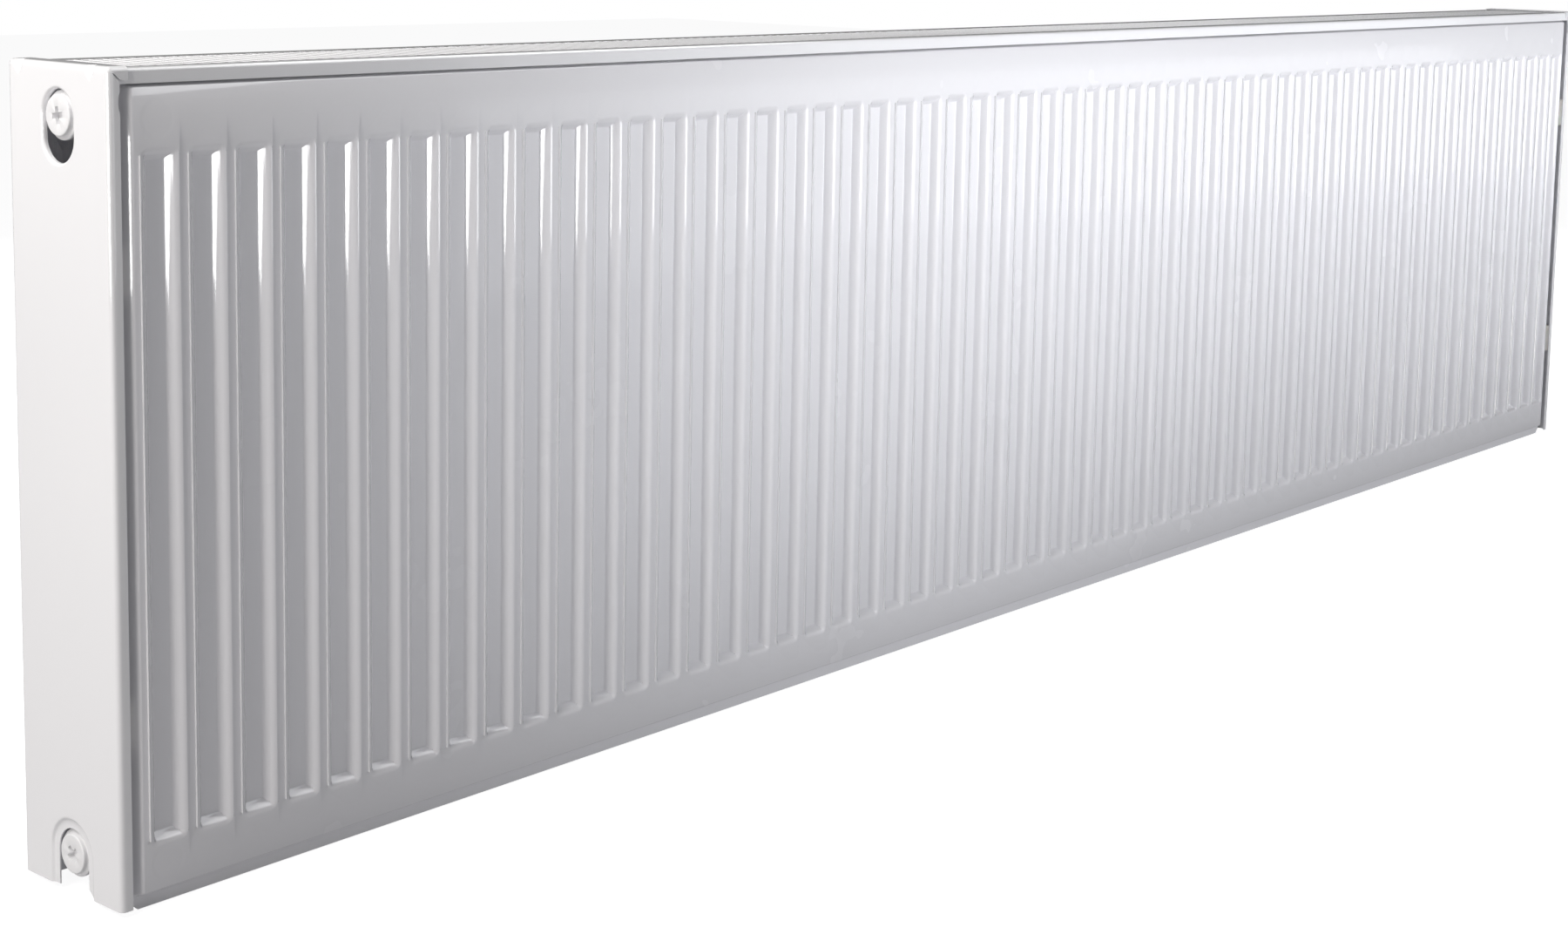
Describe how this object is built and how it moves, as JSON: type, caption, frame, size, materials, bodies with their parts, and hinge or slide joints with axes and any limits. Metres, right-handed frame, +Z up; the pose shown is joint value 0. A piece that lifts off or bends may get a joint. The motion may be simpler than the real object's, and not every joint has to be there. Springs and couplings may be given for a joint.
{
  "type": "panel radiator",
  "caption": "White steel panel radiator with two grooved water panels, convector fins between them, a slotted top grille, hooked side covers, blanking plugs and rear hanging lugs.",
  "frame": {"origin": "middle of the overall box, on its underside, where the panels' bottom seams rest", "axes": "+X along the length towards the end with open tappings, -Y towards the room-side front, +Z up"},
  "size_m": [2, 0.109, 0.5038],
  "materials": {
    "white_enamel": "gloss white stove enamel on pressed steel",
    "cover_enamel": "satin white powder coat on folded steel",
    "convector_enamel": "thin white coat on corrugated steel",
    "tee_enamel": "white coat on welded steel fittings",
    "plug_plastic": "moulded white plastic, semi gloss",
    "nylon": "natural nylon",
    "seal_rubber": "black sealing ring"
  },
  "bodies": {
    "radiator": {"front_panel_outer_sheet": "white_enamel", "front_panel_inner_sheet": "white_enamel", "rear_panel_inner_sheet": "white_enamel", "rear_panel_outer_sheet": "white_enamel", "front_convector": "convector_enamel", "rear_convector": "convector_enamel", "upper_left_tee": "tee_enamel", "lower_left_tee": "tee_enamel", "upper_right_tee": "tee_enamel", "lower_right_tee": "tee_enamel", "upper_panel_spacers": "tee_enamel", "lower_panel_spacers": "tee_enamel", "upper_hanging_lugs": "white_enamel", "lower_hanging_lugs": "white_enamel", "top_grille": "cover_enamel", "front_grille_clips": "nylon", "rear_grille_clips": "nylon"},
    "left_clips": {"left_cover_clips": "nylon"},
    "left_cover": {"left_side_cover": "cover_enamel"},
    "right_clips": {"right_cover_clips": "nylon"},
    "right_cover": {"right_side_cover": "cover_enamel"},
    "upper_seal": {"upper_left_plug_seal": "seal_rubber"},
    "upper_plug": {"upper_left_plug": "plug_plastic"},
    "lower_seal": {"lower_left_plug_seal": "seal_rubber"},
    "lower_plug": {"lower_left_plug": "plug_plastic"}
  },
  "joints": [
    {"name": "left_cover_pull", "type": "slide", "parent": "radiator", "child": "left_clips", "axis": [-1, 0, 0], "range_m": [0, 0.12]},
    {"name": "left_cover_lift", "type": "slide", "parent": "left_clips", "child": "left_cover", "axis": [0, 0, 1], "range_m": [0, 0.012]},
    {"name": "right_cover_pull", "type": "slide", "parent": "radiator", "child": "right_clips", "axis": [1, 0, 0], "range_m": [0, 0.12]},
    {"name": "right_cover_lift", "type": "slide", "parent": "right_clips", "child": "right_cover", "axis": [0, 0, 1], "range_m": [0, 0.012]},
    {"name": "upper_plug_travel", "type": "slide", "parent": "radiator", "child": "upper_seal", "axis": [-1, 0, 0], "range_m": [0, 0.011]},
    {"name": "upper_plug_turn", "type": "hinge", "parent": "upper_seal", "child": "upper_plug", "pos_m": [-0.995, -0.0035, 0.473], "axis": [-1, 0, 0], "range_deg": [0, 2160]},
    {"name": "lower_plug_travel", "type": "slide", "parent": "radiator", "child": "lower_seal", "axis": [-1, 0, 0], "range_m": [0, 0.011]},
    {"name": "lower_plug_turn", "type": "hinge", "parent": "lower_seal", "child": "lower_plug", "pos_m": [-0.995, -0.0035, 0.027], "axis": [-1, 0, 0], "range_deg": [0, 2160]}
  ],
  "couplings": [
    {"joint": "upper_plug_travel", "follows": "upper_plug_turn", "m_per_rad": 0.00028871},
    {"joint": "lower_plug_travel", "follows": "lower_plug_turn", "m_per_rad": 0.00028871}
  ]
}
